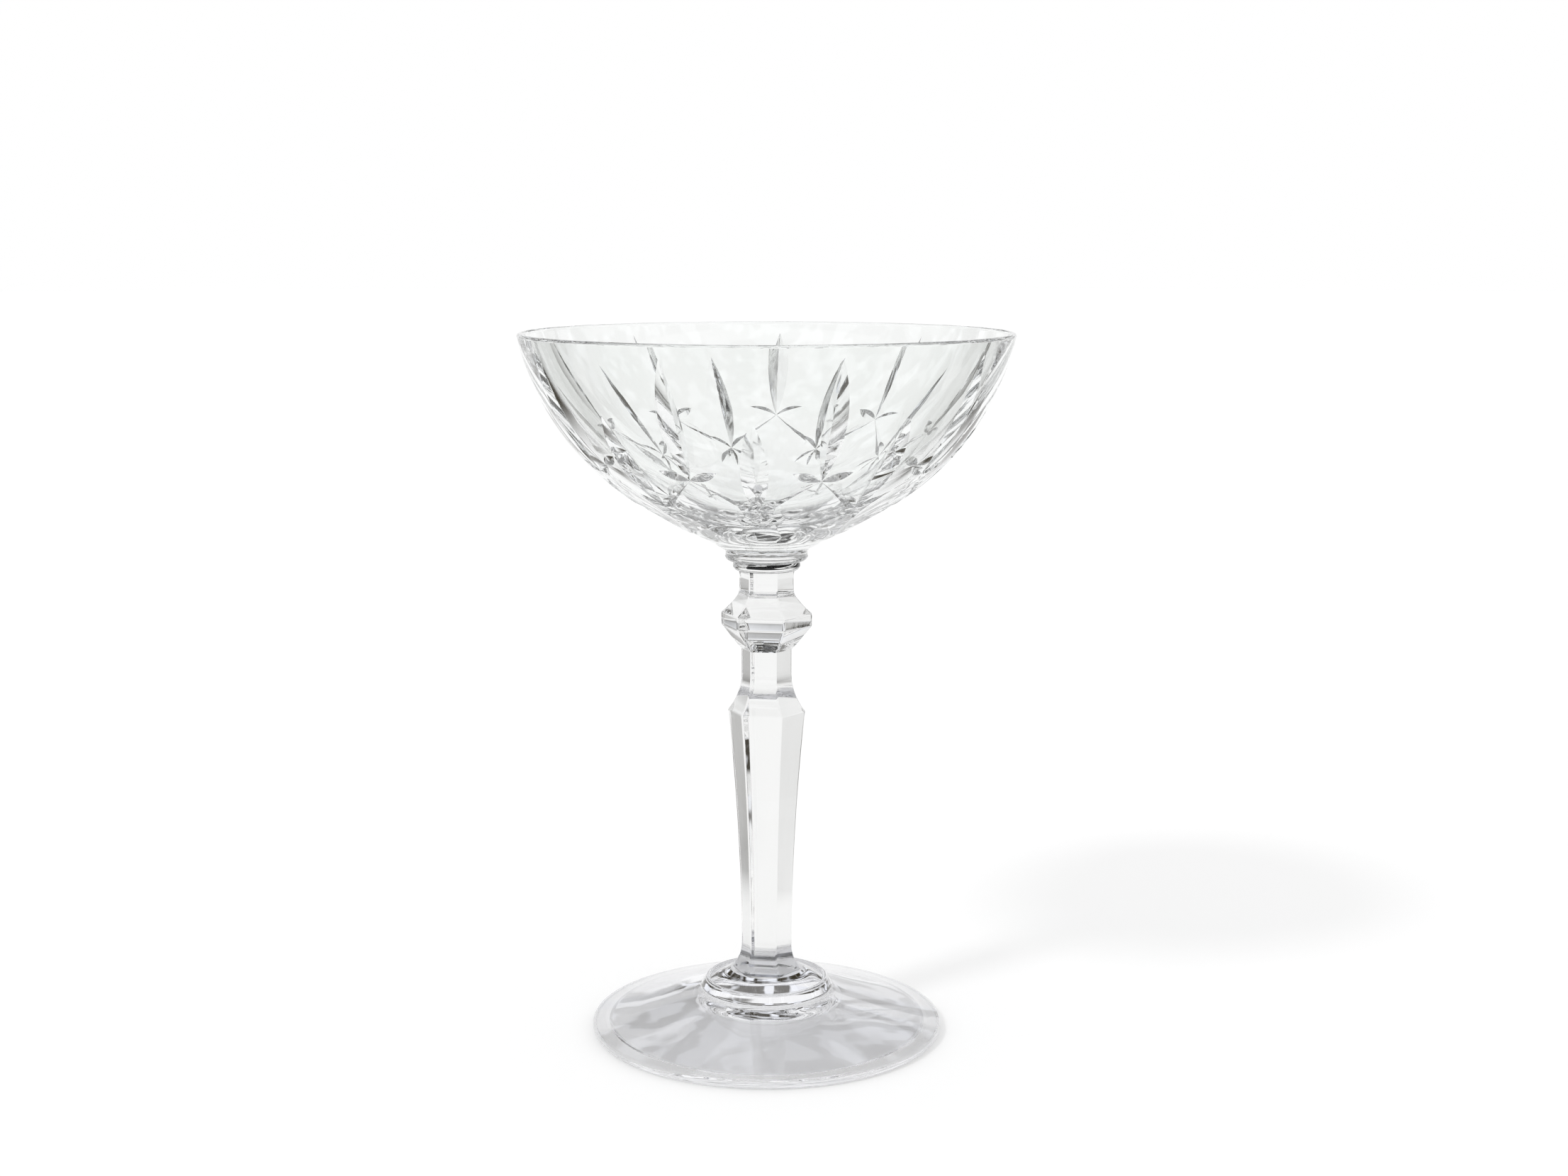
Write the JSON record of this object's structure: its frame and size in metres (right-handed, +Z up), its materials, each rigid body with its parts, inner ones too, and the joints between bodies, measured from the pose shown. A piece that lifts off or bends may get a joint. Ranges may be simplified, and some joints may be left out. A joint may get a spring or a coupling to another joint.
{
  "type": "coupe glass",
  "caption": "Stemmed coupe glass: wide cut-crystal bowl with leaf and oval cuts on a collar, a six-sided knopped stem, a round pad and a broad round foot.",
  "frame": {"origin": "centre of the foot's ground ring, on the surface that the glass stands on", "axes": "+Z up the axis of the glass to the rim; -Y is the front that the picture shows; +X to the right"},
  "size_m": [0.1098, 0.1098, 0.16],
  "materials": {
    "bowl_crystal": "clear cut crystal: fire-polished wall with bright mitre cuts and ground ovals",
    "stem_crystal": "clear crystal, fire-polished flat facets with soft corners",
    "foot_crystal": "clear crystal, fire-polished top, ground ring underneath"
  },
  "bodies": {
    "root": {"foot": "foot_crystal", "foot_pad": "foot_crystal", "stem": "stem_crystal", "bowl_collar": "stem_crystal", "bowl": "bowl_crystal"}
  },
  "joints": []
}
